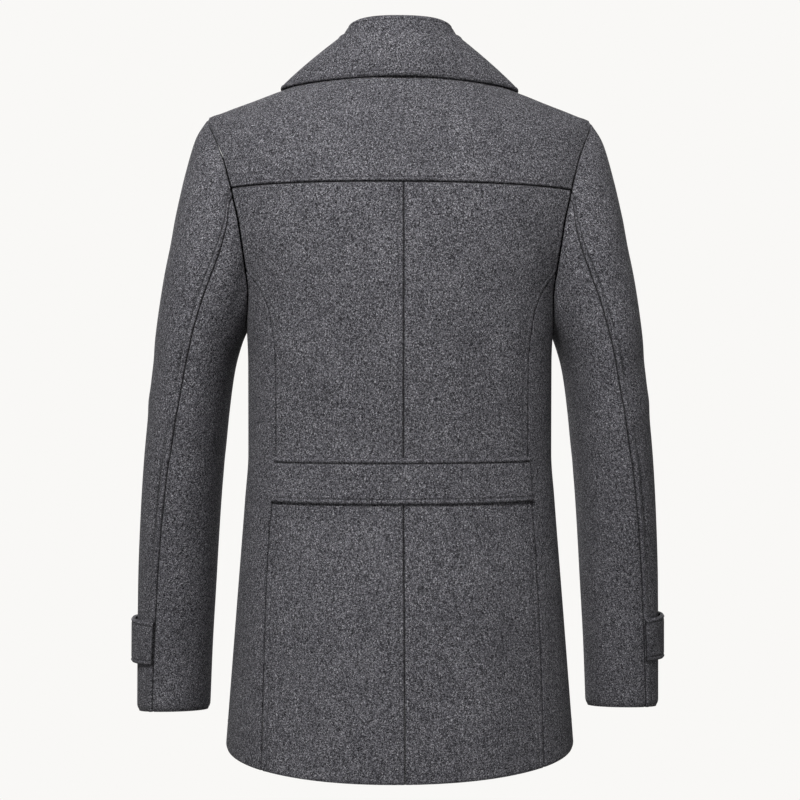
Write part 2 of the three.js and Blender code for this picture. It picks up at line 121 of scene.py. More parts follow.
LIGHTS = [
    {"name": "key", "place": (0.5, 1.8, 1.2), "aim": (0, 0, -0.2), "size": 0.7, "watts": 58},
    {"name": "fill", "place": (0.15, 2.5, -0.3), "aim": (0, 0, -0.35), "size": 0.9, "watts": 8},
    {"name": "front_left", "place": (0.7, -2.0, 0.8), "aim": (0, 0, -0.3), "size": 1.2, "watts": 40},
    {"name": "front_right", "place": (-0.9, -1.9, 0.3), "aim": (0, 0, -0.35), "size": 1.2, "watts": 20},
]
for row in LIGHTS:
    lamp = bpy.data.lights.new(row["name"], "AREA")
    lamp.size, lamp.energy = row["size"], row["watts"]
    holder = add_object(row["name"], lamp)
    holder.location = row["place"]
    aim = Vector(row["aim"]) - Vector(row["place"])
    holder.rotation_euler = aim.to_track_quat("-Z", "Y").to_euler()

floor_mesh = bmesh.new()
bmesh.ops.create_circle(floor_mesh, cap_ends=True, segments=96, radius=FLOOR_RADIUS)
bmesh.ops.translate(floor_mesh, verts=floor_mesh.verts, vec=(0, 0, FLOOR_HEIGHT))
floor_data = bpy.data.meshes.new("floor")
floor_mesh.to_mesh(floor_data)
floor = add_object("floor", floor_data)
paint, painted = new_finish("matt_white_floor")
painted.inputs["Base Color"].default_value = linear("000000")
painted.inputs["Specular IOR Level"].default_value = 0
painted.inputs["Emission Color"].default_value = linear(PALE)
painted.inputs["Emission Strength"].default_value = 1.0
floor_data.materials.append(paint)
floor.visible_diffuse = False

# The wool: a milled melton in a grey melange, dark and pale fibres spun together and felted, with a
# short brushed nap. The eye sees a matte salt-and-pepper fleck of about a millimetre and no weave. The
# fleck is drawn two to three times coarser than a real melton's, which would be finer than a pixel.
FLECK_MM = 1.5
SALT_MM = 1.15
BLOTCH_MM = 45
NAP_MM = 0.7


def wool_melton(name):
    cloth, finish = new_finish(name)
    tree = cloth.node_tree
    place = node(tree, "ShaderNodeTexCoord").outputs["Object"]

    def noise(millimetres, detail, distortion):
        return node(tree, "ShaderNodeTexNoise", {
            "Scale": 1000 / millimetres, "Detail": detail, "Roughness": 0.6,
            "Distortion": distortion}, {"Vector": place}).outputs["Fac"]

    def ramp(value, stops):
        made = node(tree, "ShaderNodeValToRGB", links={"Fac": value})
        elements = made.color_ramp.elements
        while len(elements) < len(stops):
            elements.new(0.5)
        for element, (at, colour) in zip(elements, stops):
            element.position = at
            element.color = linear(colour)
        return made.outputs["Color"]

    def mix(kind, factor, first, second):
        made = node(tree, "ShaderNodeMix", data_type="RGBA", blend_type=kind)
        for socket, value in ((made.inputs[0], factor), (made.inputs[6], first), (made.inputs[7], second)):
            if isinstance(value, bpy.types.NodeSocket):
                tree.links.new(value, socket)
            else:
                socket.default_value = value
        return made.outputs[2]

    fleck = noise(FLECK_MM, 3, 0.6)
    base = ramp(fleck, [(0.35, "18181a"), (0.5, "434247"), (0.64, "76757b")])
    salt = ramp(noise(SALT_MM, 2, 1.2), [(0.57, "000000"), (0.65, "ffffff")])
    salted = mix("MIX", salt, base, linear("bab9be"))
    pepper = ramp(noise(SALT_MM * 1.3, 2, 0.8), [(0.3, "ffffff"), (0.4, "000000")])
    peppered = mix("MIX", pepper, salted, linear("18181a"))
    blotch = ramp(noise(BLOTCH_MM, 2, 0), [(0.3, "e9e9ea"), (0.7, "ffffff")])
    toned = mix("MULTIPLY", 1.0, peppered, blotch)
    # Painted shade: the base colour is darkened towards near-black 060607 by a per-point attribute that the
    # panels carry in their seam grooves, along their stitch lines and under the belt's lower edge.
    painted_shade = node(tree, "ShaderNodeAttribute", attribute_name="painted_shade").outputs["Fac"]
    tree.links.new(mix("MIX", painted_shade, toned, linear("060607")), finish.inputs["Base Color"])
    nap = node(tree, "ShaderNodeBump", {"Strength": 0.55, "Distance": 0.0005}, {
        "Height": noise(NAP_MM, 3, 0.5)})
    tree.links.new(nap.outputs["Normal"], finish.inputs["Normal"])
    finish.inputs["Roughness"].default_value = 0.95
    finish.inputs["Specular IOR Level"].default_value = 0.12
    finish.inputs["Sheen Weight"].default_value = 0.03
    finish.inputs["Sheen Roughness"].default_value = 0.6
    return cloth


melton = wool_melton("milled_wool_melton")

# The two back panels, joined down the centre back. They hang from the yoke, are taken in at the waist
# by the side-back seams, and fall free to a turned hem. The left one is topstitched beside the seam.
WALL = 2.6
SEAM_GAP = 0.02
SIDE_GAP_ANGLE = SEAM_GAP / 2 / 110
YOKE_SEAM = 126
ARMHOLE_TURN = 212
HEM = 730
RING_DIP = 1.5
TIP_POWER = 8


def table(columns, *rows):
    names = columns.split()
    return [dict(zip(names, row)) for row in rows]


# The form that every piece is cut to: level rings round the body, in millimetres. "down" is the drop
# from the neck seam at the centre back, "side" and "front" the heights of the same ring there.
BODY = table(
    "down side front half tip back breast power",
    (0, 15, -62, 75, 0, 60, 86, 2.0),
    (24, 4, -80, 104, 0, 74, 96, 2.03),
    (50, -14, -99, 152, 0, 86, 104, 2.06),
    (76, -31.6, -115, 191, 6.7, 96, 110, 2.09),
    (85, -38, -121, 201, 12.5, 99, 112, 2.1),
    (95, -58, -127, 207.5, 12, 101.5, 114, 2.15),
    (103, -75, -132, 211, 8, 103.5, 115.5, 2.2),
    (115, -101, -139, 212.5, 3.5, 107, 117.5, 2.3),
    (126, -126, -146, 210.5, 0, 109, 119, 2.35),
    (155, -155, -165, 203.7, 0, 113, 122, 2.4),
    (187, -187, -190, 192.6, 0, 115, 124, 2.4),
    (212, -212, -213, 181.5, 0, 115.3, 124.5, 2.4),
    (238, -238, -238, 173.5, 0, 114.5, 124.5, 2.4),
    (270, -270, -270, 170.2, 0, 113, 124, 2.38),
    (310, -310, -310, 168.6, 0, 110.5, 122, 2.35),
    (409, -409, -409, 168.6, 0, 105, 117, 2.3),
    (457, -457, -457, 172, 0, 107, 119, 2.28),
    (574, -574, -574, 181, 0, 126, 132, 2.2),
    (730, -730, -730, 193, 0, 150, 150, 2.1),
)
ARMHOLE = table(
    "down back front",
    (85, 90, 90), (88, 79.7, 79.5), (91, 75.3, 75), (95, 69.7, 69.5), (103, 64, 63.5),
    (115, 59, 58), (126, 57, 56.5), (155, 56, 55.5), (187, 59, 59), (212, 64.5, 64.5),
)
SIDE_BACK = table(
    "down angle",
    (212, 64.5), (235, 56.5), (262, 51.5), (310, 49.5), (430, 50.4), (500, 51.6), (730, 48.5),
)


def read(rows, column, at):
    """A smooth value between rows, whose first column is the key. It never swings past its rows."""
    key = next(iter(rows[0]))
    i = 0
    while i < len(rows) - 2 and at > rows[i + 1][key]:
        i += 1

    def secant(j):
        return (rows[j + 1][column] - rows[j][column]) / (rows[j + 1][key] - rows[j][key])

    def slope(j):
        if j == 0:
            return secant(0)
        if j == len(rows) - 1:
            return secant(j - 1)
        before, after = secant(j - 1), secant(j)
        return 2 * before * after / (before + after) if before * after > 0 else 0

    span = rows[i + 1][key] - rows[i][key]
    q = (at - rows[i][key]) / span
    blend = q * q * (3 - 2 * q)
    level = rows[i][column] * (1 - blend) + rows[i + 1][column] * blend
    return level + span * (slope(i) * q * (1 - q) ** 2 - slope(i + 1) * q * q * (1 - q))


@lru_cache(None)
def body_ring(down):
    return {column: read(BODY, column, down) for column in BODY[0] if column != "down"}


def signed_power(value, power):
    return math.copysign(abs(value) ** power, value)


def smooth_step(q):
    q = min(1, max(0, q))
    return q * q * (3 - 2 * q)


def body_point(angle, down):
    """A point of the form at an angle from the centre back towards the wearer's left."""
    ring = body_ring(round(down, 3))
    bend = 2 / ring["power"]
    across, along = math.sin(angle), math.cos(angle)
    middle = -down if along > 0 else ring["front"]
    return Vector((
        (ring["half"] + ring["tip"] * across ** TIP_POWER) * signed_power(across, bend),
        ring["back" if along > 0 else "breast"] * signed_power(along, bend),
        ring["side"] + (middle - ring["side"]) * abs(along) ** RING_DIP,
    ))


def ring_angle(x, down):
    """The angle from the centre at which a ring lies x to the wearer's left."""
    ring = body_ring(round(down, 3))
    return math.copysign(math.asin((abs(x) / ring["half"]) ** (ring["power"] / 2)), x)


def armhole_back(down):
    return math.radians(read(ARMHOLE, "back", down))


def side_back(down):
    return math.radians(read(SIDE_BACK, "angle", down))


def spread(start, end, step, both_sewn=True):
    """Places along a length in millimetres, closer together near its end, and its start if that is sewn."""
    fine = [0, 0.4, 0.8, 1.3, 2.0, 2.9, 3.8, 4.5, 5.1, 5.7, 6.3, 7.0, 7.6, 8.2, 8.8, 9.7, 11.2, 13.5]
    low = fine if both_sewn else [0]
    inner = end - start - low[-1] - fine[-1]
    count = max(1, round(inner / step))
    middle = [low[-1] + inner * k / count for k in range(1, count)]
    places = low + middle + [end - start - f for f in reversed(fine)]
    return [start + p for p in places]


def shares(length, step, both_sewn=True):
    """The same places as shares of the length."""
    return [place / length for place in spread(0, length, step, both_sewn)]


# How the face of a panel is shaped beside an edge. Every edge rolls in, by "roll" over "soft" millimetres.
# A topstitched edge stands up over its seam allowance by "welt", and "line" millimetres from the edge
# the thread pulls it down by "pull". "dark" is painted shade in the groove at the edge, strongest at seams
# and under the belt's lower edge, and "trace" is painted shade along the stitch line.
EDGES = {row["kind"]: row for row in table(
    "kind roll soft dark line welt pull trace",
    ("seam", 1.7, 0.9, 0.85, 0, 0, 0, 0),
    ("turned", 1.3, 1.5, 0.1, 0, 0, 0, 0),
    ("hem", 1.2, 1.7, 0.1, 27, 0, 0.35, 0.12),
    ("centre back", 1.7, 0.9, 0.85, 5.6, 0.4, 0.4, 0.25),
    ("lapped", 1.7, 0.8, 0.95, 4.8, 0.8, 0.5, 0.2),
    ("cuff", 2.4, 3.6, 0.1, 0, 0, 0, 0),
    ("elbow", 1.7, 0.9, 0.9, 8.2, 0.7, 1.1, 0.75),
    ("side back", 1.7, 0.9, 0.8, 7.6, 0.3, 0.3, 0.2),
    ("belt top", 1.2, 1.2, 0.4, 6.0, 0.9, 1.2, 0.8),
    ("belt bottom", 1.2, 1.2, 0.8, 5.6, 0.8, 0.7, 0.4),
    ("edge stitched", 1.2, 1.4, 0.1, 4.6, 0.4, 0.6, 0.45),
    ("front edge", 1.2, 1.5, 0.1, 6.3, 0.4, 0.5, 0.3),
)}


def beside_edge(distance, kind):
    """The height of the face at a distance from an edge, and how much painted shade darkens it there."""
    edge = EDGES[kind]
    height = -edge["roll"] * math.exp(-(distance / edge["soft"]) ** 2)
    # Painted shade in the groove at the edge, and further in along the stitch line.
    painted_shade = edge["dark"] * math.exp(-(distance / 0.9) ** 2)
    line = edge["line"]
    if line:
        height += edge["welt"] * math.exp(-((distance - line * 0.5) / (line * 0.32)) ** 2)
        height -= edge["pull"] * math.exp(-((distance - line) / 0.9) ** 2)
        painted_shade += edge["trace"] * math.exp(-((distance - line) / 0.75) ** 2)
    return height, painted_shade


def crease_height(creases, across, height):
    """Soft troughs and ridges. A crease runs from (x1, z1) to (x2, z2) and fades over its ends."""
    total = 0
    for fold in creases:
        run = Vector((fold["x2"] - fold["x1"], fold["z2"] - fold["z1"]))
        off = Vector((across - fold["x1"], height - fold["z1"]))
        along = off.dot(run) / run.length_squared
        if -0.25 < along < 1.25:
            aside = (off.x * run.y - off.y * run.x) / run.length
            fade = smooth_step((along + 0.25) / 0.5) * smooth_step((1.25 - along) / 0.5)
            total += fold["depth"] * fade * math.exp(-(aside / fold["wide"]) ** 2)
    return total


def far_along(line, grid):
    """How far each place of a line lies from its first."""
    far = [0.0]
    for a, b in zip(line, line[1:]):
        far.append(far[-1] + (grid[b].co - grid[a].co).length)
    return far


def shape_edges(grid, across, down, edges):
    """What the edges add to each place's height and painted shade, and the tracks of their stitching."""
    level = [[(c, r) for c in range(across) if (c, r) in grid] for r in range(down)]
    upright = [[(c, r) for r in range(down) if (c, r) in grid] for c in range(across)]
    height, painted_edge_shade, tracks = dict.fromkeys(grid, 0.0), dict.fromkeys(grid, 0.0), []
    for side, lines, from_end in (
        ("left", level, False), ("right", level, True), ("top", upright, False), ("bottom", upright, True),
    ):
        if side not in edges:
            continue
        goal = EDGES[edges[side]]["line"]
        track = []
        for line in lines:
            if len(line) < 3:
                continue
            ordered = line[::-1] if from_end else line
            far = far_along(ordered, grid)
            for key, distance in zip(ordered, far):
                rise, painted_shade = beside_edge(distance, edges[side])
                height[key] += rise
                painted_edge_shade[key] += painted_shade
            past = next((i for i, distance in enumerate(far) if distance > goal), None)
            if goal and past:
                q = (goal - far[past - 1]) / (far[past] - far[past - 1])
                track.append((ordered[past - 1], ordered[past], q))
        if track:
            tracks.append(track)
    return height, painted_edge_shade, tracks


stitch_lines = []


def sew_panel(name, columns, rows, place, edges, outward, wall=WALL, skip=None, creases=(),
              crease_at=None, offset=-1):
    """One piece of cloth: a grid set on its form, shaped beside its edges and given its wall.

    edges gives the kind of the left, right, top and bottom edge. skip says which part of the grid
    isn't cloth. Lines of stitching are kept for the thread, which is sewn in at the end.
    """
    across, down = len(columns), len(rows)
    bm = bmesh.new()
    bmesh.ops.create_grid(bm, x_segments=across - 1, y_segments=down - 1, size=0.5)
    # Each point carries its painted shade from the edges, which darkens the wool's colour.
    shade_layer = bm.verts.layers.float.new("painted_shade")
    bm.verts.ensure_lookup_table()
    grid = {}
    for vert in bm.verts:
        c = round((vert.co.x + 0.5) * (across - 1))
        r = round((vert.co.y + 0.5) * (down - 1))
        if skip and skip(c, r):
            continue
        vert.co = place(columns[c], rows[r])
        grid[c, r] = vert
    kept = set(grid.values())
    bmesh.ops.delete(bm, geom=[v for v in bm.verts if v not in kept], context="VERTS")
    bm.normal_update()
    sample = grid[across // 2 + 1, down * 3 // 5]
    if sample.normal.dot(outward(sample.co)) < 0:
        bmesh.ops.reverse_faces(bm, faces=bm.faces)
        bm.normal_update()

    height, painted_edge_shade, tracks = shape_edges(grid, across, down, edges)
    if creases:
        for key, vert in grid.items():
            height[key] += crease_height(creases, *crease_at(vert.co))
    shaped = {key: (vert.co + vert.normal * height[key], vert.normal.copy()) for key, vert in grid.items()}
    for key, vert in grid.items():
        vert.co = shaped[key][0]
        vert[shade_layer] = min(1, painted_edge_shade[key])
    for track in tracks:
        line = []
        for first, second, q in track:
            point, normal = (a.lerp(b, q) for a, b in zip(shaped[first], shaped[second]))
            line.append((point, normal.normalized()))
        stitch_lines.append(line)
    bmesh.ops.scale(bm, verts=bm.verts, vec=(0.001, 0.001, 0.001))
    for face in bm.faces:
        face.smooth = True
    mesh = bpy.data.meshes.new(name)
    bm.to_mesh(mesh)
    bm.free()
    piece = add_object(name, mesh)
    thick = piece.modifiers.new("wall", "SOLIDIFY")
    thick.thickness, thick.offset = wall / 1000, offset
    soft = piece.modifiers.new("edges", "BEVEL")
    soft.width, soft.segments, soft.limit_method = 0.0006, 2, "ANGLE"
    soft.angle_limit = math.radians(50)
    mesh.materials.append(melton)
    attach(piece, "root")
    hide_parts(name.replace("cloth_", ""))
    return piece


def from_axis(point):
    return Vector((point.x, point.y, 0))


def mirror_place(place):
    """The same piece for the wearer's right."""
    def mirrored(u, v):
        point = place(u, v)
        return Vector((-point.x, point.y, point.z))
    return mirrored


BACK_CREASES = table(
    "x1 z1 x2 z2 depth wide",
    (62, -235, 96, -395, -1.3, 26), (30, -300, 40, -400, 0.7, 18), (118, -250, 108, -372, 1.2, 20),
    (58, -475, 74, -690, 1.5, 30), (104, -490, 122, -705, -1.5, 24), (22, -520, 26, -700, -0.8, 20),
)


def back_place(u, v):
    edge = (armhole_back(v) if v < ARMHOLE_TURN else side_back(v)) - SIDE_GAP_ANGLE
    start = ring_angle(SEAM_GAP / 2, v)
    return body_point(start + (edge - start) * u, v)


back_columns = shares(150, 4)
back_rows = spread(YOKE_SEAM + SEAM_GAP / 2, HEM, 5)
for side_name, place, stitched in (
    ("left", back_place, "centre back"), ("right", mirror_place(back_place), "seam"),
):
    panel = sew_panel(
        "cloth_back_" + side_name, back_columns, back_rows, place,
        {"left": stitched, "right": "side back", "top": "seam", "bottom": "hem"}, from_axis,
        creases=BACK_CREASES, crease_at=lambda p: (abs(p.x), p.z))

# The back yoke, one piece across both shoulders. It carries the back panels, and its lower edge is
# lapped over them and topstitched.
SHOULDER_END = 85
SHOULDER_GAP_ANGLE = SEAM_GAP / 2 / 90
yoke_rows = spread(0, YOKE_SEAM - SEAM_GAP / 2, 3.2)
yoke_columns = shares(400, 5)
YOKE_CREASES = table(
    "x1 z1 x2 z2 depth wide",
    (150, -70, 110, -118, -0.8, 18), (60, -40, 90, -110, 0.5, 24),
)


def yoke_place(u, v):
    edge = math.pi / 2 - SHOULDER_GAP_ANGLE if v <= SHOULDER_END else armhole_back(v)
    return body_point(edge * (2 * u - 1), v)


yoke = sew_panel(
    "cloth_yoke_back", yoke_columns, yoke_rows, yoke_place,
    {"left": "seam", "right": "seam", "bottom": "lapped"}, lambda p: Vector((0, 0.5, 1)),
    creases=YOKE_CREASES, crease_at=lambda p: (abs(p.x), p.z))

# The fronts, each cut in one with its side. They meet the back at the side-back seams and close left
# over right. The photograph hides all but their sides, so they are plain, with stitched front edges.
UNDERARM = 270
DIP_FADE = 200
DIP_POWER = 2.4
OVERLAP = 28
LIFT_START = 60
LIFT_END = 31
FRONT_LIFT = WALL + 0.6
FRONT_CREASES = table(
    "x1 z1 x2 z2 depth wide",
    (95, -200, 88, -350, -1.4, 24), (60, -470, 84, -690, 1.5, 28), (112, -500, 132, -700, -1.3, 22),
    (120, -90, 70, -190, 0.9, 22),
)
side_places = shares(110, 4)
front_places = shares(200, 4.5)
front_columns = [("side", q) for q in side_places[:-1]] + [("chest", q) for q in front_places]
side_count = len(side_places) - 1
upper_rows = spread(0, ARMHOLE_TURN, 4.5)
lower_rows = spread(ARMHOLE_TURN, HEM, 5)[1:]
front_rows = upper_rows + lower_rows
turn_row = len(upper_rows) - 1


def armhole_front(down):
    return math.pi - math.radians(read(ARMHOLE, "front", down))


def body_normal(angle, down):
    around = body_point(angle + 0.004, down) - body_point(angle - 0.004, down)
    fall = body_point(angle, down + 0.5) - body_point(angle, down - 0.5)
    return around.cross(fall).normalized()


def side_angle_down(q, down):
    """A place on the side, whose rows dip below the arm so that the top one is the armhole's bottom."""
    start = side_back(down) + SIDE_GAP_ANGLE
    dip = (UNDERARM - ARMHOLE_TURN) * max(0, 1 - (down - ARMHOLE_TURN) / DIP_FADE) ** 2
    angle = start + (armhole_front(ARMHOLE_TURN) - start) * q
    return angle, down + dip * (1 - abs(2 * q - 1) ** DIP_POWER)


def chest_angle(q, down):
    edge = armhole_front(max(SHOULDER_END, min(down, ARMHOLE_TURN)))
    if down <= SHOULDER_END:
        edge = math.pi / 2 + SHOULDER_GAP_ANGLE
    return edge + (math.pi + ring_angle(OVERLAP, down) - edge) * q


def front_place(lifted):
    def place(u, v):
        part, q = u
        if part == "side":
            return body_point(*side_angle_down(q, v))
        angle = chest_angle(q, v)
        point = body_point(angle, v)
        if lifted and point.x < LIFT_START:
            lift = FRONT_LIFT * smooth_step((LIFT_START - point.x) / (LIFT_START - LIFT_END))
            point = point + body_normal(angle, v) * lift
        return point
    return place


for side_name, place in (("left", front_place(True)), ("right", mirror_place(front_place(False)))):
    front = sew_panel(
        "cloth_front_" + side_name, front_columns, front_rows, place,
        {"left": "seam", "right": "front edge", "top": "seam", "bottom": "hem"}, from_axis,
        skip=lambda c, r: c < side_count and r < turn_row,
        creases=FRONT_CREASES, crease_at=lambda p: (abs(p.x), p.z) if p.y < 0 else (400, p.z))

# The two-piece sleeves, a top sleeve over the outside of the arm and an under sleeve beside the body,
# set into the armholes with a smooth head and joined at the elbow and forearm. The cuffs are open.
SLEEVE = table(
    "ring out_x out_z in_x in_z depth centre elbow rise",
    (0, 213.5, -38, 170.9, -269, 70, 0, 82, 0),
    (1, 225.5, -58, 174, -275, 76, 0, 92, 0),
    (2, 236.5, -95, 177.5, -285, 79, 0, 97, 0),
    (3, 246, -137, 181, -299, 80, 0, 98, 0),
    (4, 255, -183, 184.5, -316, 80, 0, 98, 0),
    (5, 263, -230, 187.5, -336, 79, 0, 96, 0),
    (6, 270.5, -283, 191, -364, 77, -1, 92, 0),
    (7, 277, -350, 195, -403, 74, -3, 86, 0),
    (8, 284, -417, 199.5, -449, 70, -6, 80, 0),
    (9, 289, -484, 203.5, -503, 65, -10, 76, 1),
    (10, 292.3, -550, 207.2, -560, 61, -14, 72, 3),
    (11, 294, -622, 211.5, -626, 57, -18, 69, 7),
    (12, 295.3, -700, 215, -700, 54, -22, 66, 11),
)
HEAD_BLEND = 5
ELBOW_START = 135
FOREARM_START = 170
SLEEVE_OUTER = 305
SLEEVE_MIDDLE = (246, -8)
SLEEVE_CREASES = table(
    "x1 z1 x2 z2 depth wide",
    (38.5, -300, 82.5, -345, -1.6, 15), (22, -345, 66, -372, 1.1, 12),
    (44, -392, 99, -420, -1.3, 13), (60.5, -170, 82.5, -255, -1.4, 16),
    (33, -480, 77, -500, 0.8, 16), (27.5, -560, 66, -590, -0.7, 14),
)


@lru_cache(None)
def sleeve_ring(ring):
    return {column: read(SLEEVE, column, ring) for column in SLEEVE[0] if column != "ring"}


def sleeve_ellipse(angle, ring):
    size = sleeve_ring(round(ring, 4))
    share = (1 + math.cos(angle)) / 2
    return Vector((
        size["in_x"] + (size["out_x"] - size["in_x"]) * share,
        size["centre"] + size["depth"] * math.sin(angle),
        size["in_z"] + (size["out_z"] - size["in_z"]) * share + size["rise"] * math.sin(angle),
    ))


def armhole_stretch(start, end, count, angle_of):
    downs = [start + (end - start) * k / count for k in range(count + 1)]
    return [(angle_of(down), down) for down in downs]


# The armhole's loop of places, cut where the two sleeve pieces meet, each with its point and the
# direction along the cloth towards the armhole's middle.
top_loop = (
    armhole_stretch(FOREARM_START, 100, 24, armhole_front)
    + armhole_stretch(100, SHOULDER_END, 24, armhole_front)[1:]
    + armhole_stretch(SHOULDER_END, 100, 24, armhole_back)[1:]
    + armhole_stretch(100, ELBOW_START, 12, armhole_back)[1:]
)
under_loop = (
    armhole_stretch(ELBOW_START, ARMHOLE_TURN, 20, armhole_back)
    + [side_angle_down(q / 28, ARMHOLE_TURN) for q in range(1, 28)]
    + armhole_stretch(ARMHOLE_TURN, FOREARM_START, 12, armhole_front)
)
whole_loop = top_loop[:-1] + under_loop[:-1]
loop_points = [body_point(*place) for place in whole_loop]
loop_middle = sum(loop_points, Vector()) / len(loop_points)
ring_centre = (sleeve_ellipse(0, 0) + sleeve_ellipse(math.pi, 0)) / 2
ring_reach = sleeve_ellipse(0, 0) - ring_centre
loop_starts, loop_angles = [], []
for i, (angle, down) in enumerate(whole_loop):
    point = loop_points[i]
    along = loop_points[(i + 1) % len(loop_points)] - loop_points[i - 1]
    away = along.cross(body_normal(angle, down)).normalized()
    away = away if away.dot(loop_middle - point) > 0 else -away
    start = point + away * SEAM_GAP
    loop_starts.append(start)
    reach = (start - ring_centre).dot(ring_reach) / ring_reach.length_squared
    loop_angles.append(math.atan2(start.y / SLEEVE[0]["depth"], reach))
elbow_first = loop_angles[len(top_loop) - 1]


def sleeve_point(i, ring):
    """The sleeve i places round the armhole, whose outline fades into the sleeve's own ellipse."""
    low = math.floor(i)
    a, b, q = low % len(whole_loop), (low + 1) % len(whole_loop), i - low
    first, second = loop_angles[a], loop_angles[b]
    if second - first > math.pi:
        second -= 2 * math.pi
    if first - second > math.pi:
        second += 2 * math.pi
    angle = first + (second - first) * q
    start = loop_starts[a].lerp(loop_starts[b], q)
    own = start - sleeve_ellipse(angle, 0)
    fade = 1 - smooth_step(ring / HEAD_BLEND)
    turned = angle
    if 0 < angle < math.pi:
        shift = math.radians(sleeve_ring(round(ring, 4))["elbow"]) - elbow_first
        share = angle / elbow_first if angle < elbow_first else (math.pi - angle) / (math.pi - elbow_first)
        turned += shift * share * smooth_step(ring)
    return sleeve_ellipse(turned, ring) + own * fade


def sleeve_place(first):
    return lambda u, v: sleeve_point(first + u, v)


def sleeve_crease_at(point):
    """How far in from the sleeve's outer side, and the height, where the creases are set out."""
    return SLEEVE_OUTER - abs(point.x), point.z


def from_sleeve(sign):
    """The direction from the middle of the sleeve on that side to a point."""
    return lambda point: Vector((point.x - sign * SLEEVE_MIDDLE[0], point.y - SLEEVE_MIDDLE[1], 0))


# The rings that are drawn lie closer together at the sleeve's head and at the cuff.
sleeve_rings = [0, 0.05, 0.1, 0.17, 0.25, 0.35, 0.5] + [0.5 + 11.3 * k / 120 for k in range(1, 121)]
sleeve_rings += [11.84, 11.88, 11.92, 11.95, 11.975, 12]
for part, first, count, flat, area in (
    ("top", 0, len(top_loop), (0.317, 0.667), 0.1158),
    ("under", len(top_loop) - 1, len(under_loop), (0.303, 0.568), 0.0819),
):
    columns = [(count - 1) * share for share in shares(300, 4.2)]
    place = sleeve_place(first)
    edges = {
        "left": "seam", "right": "elbow" if part == "top" else "seam", "top": "seam", "bottom": "cuff"}
    for side_name, put, sign in (("left", place, 1), ("right", mirror_place(place), -1)):
        sleeve = sew_panel(
            "cloth_sleeve_" + part + "_" + side_name, columns, sleeve_rings, put, edges,
            from_sleeve(sign), creases=SLEEVE_CREASES, crease_at=sleeve_crease_at)

# The collar: stand, fold and fall in one, turned down round the neck and stitched along its edge.
COLLAR = table(
    "line half back front z_back z_side z_front power",
    ("fold", 66.5, 56.5, 84, 39.5, 48, -14, 2.5),
    ("edge", 133, 68, 116, -5.5, -3, -86, 1.5),
    ("stand_top", 55, 45, 66, 65.5, 66, 16, 2.4),
)
COLLAR_FOLD, COLLAR_EDGE, STAND_TOP = COLLAR
FOLD_RADIUS = 2.5
COLLAR_BULGE = 3
COLLAR_END = 177
UP = Vector((0, 0, 1))


def collar_point(ring, angle):
    along = math.cos(angle)
    behind = along > 0
    drop = abs(along) ** (2 if behind else 1.8)
    bend = 2 / ring["power"] if behind else 1
    middle = ring["z_back" if behind else "z_front"]
    return Vector((
        ring["half"] * signed_power(math.sin(angle), bend),
        ring["back" if behind else "front"] * signed_power(along, bend),
        ring["z_side"] + (middle - ring["z_side"]) * drop))


def neck_base(angle):
    return body_point(angle, 0) - body_normal(angle, 0) * WALL / 2 + UP * 2.2


def collar_place(u, v):
    angle = math.radians(COLLAR_END * (2 * u - 1))
    base, fold, edge = neck_base(angle), collar_point(COLLAR_FOLD, angle), collar_point(COLLAR_EDGE, angle)
    outward = (edge - base) * Vector((1, 1, 0))
    outward.normalize()

    def at_fold(turn):
        return fold - outward * FOLD_RADIUS * math.cos(turn) + UP * FOLD_RADIUS * math.sin(turn)

    if v < 1:
        return base.lerp(at_fold(0), v)
    if v < 2:
        return at_fold((v - 1) * math.pi)
    q = v - 2
    return at_fold(math.pi).lerp(edge, q) + outward * COLLAR_BULGE * 4 * q * (1 - q)


collar_rows = [k / 14 for k in range(14)] + [1 + k / 8 for k in range(8)]
collar_rows += [2 + share for share in shares(75, 3, both_sewn=False)]
collar = sew_panel(
    "cloth_collar", shares(560, 4), collar_rows, collar_place,
    {"left": "turned", "right": "turned", "bottom": "edge stitched"},
    lambda p: Vector((p.x, p.y, 60)), offset=0)

# The inner stand, a plain band inside the collar that rises above its fold.
STAND_FLARE = 5


def stand_place(u, v):
    angle = math.radians(COLLAR_END * (2 * u - 1))
    outward = Vector((math.sin(angle), math.cos(angle), 0))
    flare = STAND_FLARE * math.sin(math.pi * v ** 1.5) * math.sin(angle) ** 4
    foot = neck_base(angle) - outward * (WALL + 1)
    return foot.lerp(collar_point(STAND_TOP, angle), v) + outward * flare


stand = sew_panel(
    "cloth_collar_stand", shares(400, 4), shares(65, 3, both_sewn=False), stand_place,
    {"left": "turned", "right": "turned", "bottom": "edge stitched"}, from_axis, offset=0)

# The half belt, a flat strap of two layers across the waist at the back, stitched along both edges and
# caught at its ends in the side-back seams.
BELT_TOP = 409.5
BELT_BOTTOM = 457.5
STRAP_WALL = 3
BELT_CLEAR = 0.3


def belt_place(u, v):
    edge = side_back(v) - SIDE_GAP_ANGLE
    angle = edge * (2 * u - 1)
    return body_point(angle, v) + body_normal(angle, v) * (BELT_CLEAR + STRAP_WALL)


belt = sew_panel(
    "cloth_belt_back", shares(290, 4), spread(BELT_TOP, BELT_BOTTOM, 3), belt_place,
    {"left": "seam", "right": "seam", "top": "belt top", "bottom": "belt bottom"}, from_axis,
    wall=STRAP_WALL)

# The cuff tabs, flat straps caught in the elbow seams, that wrap the outside of the cuff and button
# towards the front. They stand a little off the sleeve on the outside.
TAB_TOP = 10.6
TAB_BOTTOM = 11.28
TAB_END = -72
TAB_LIFT = 3.2
TAB_CLEAR = 0.5
TAB_POINT_AT = 0.84
TAB_POINT_CUT = 0.62


def tab_angle(q, ring):
    start = math.radians(sleeve_ring(round(ring, 4))["elbow"])
    return start + (math.radians(TAB_END) - start) * q


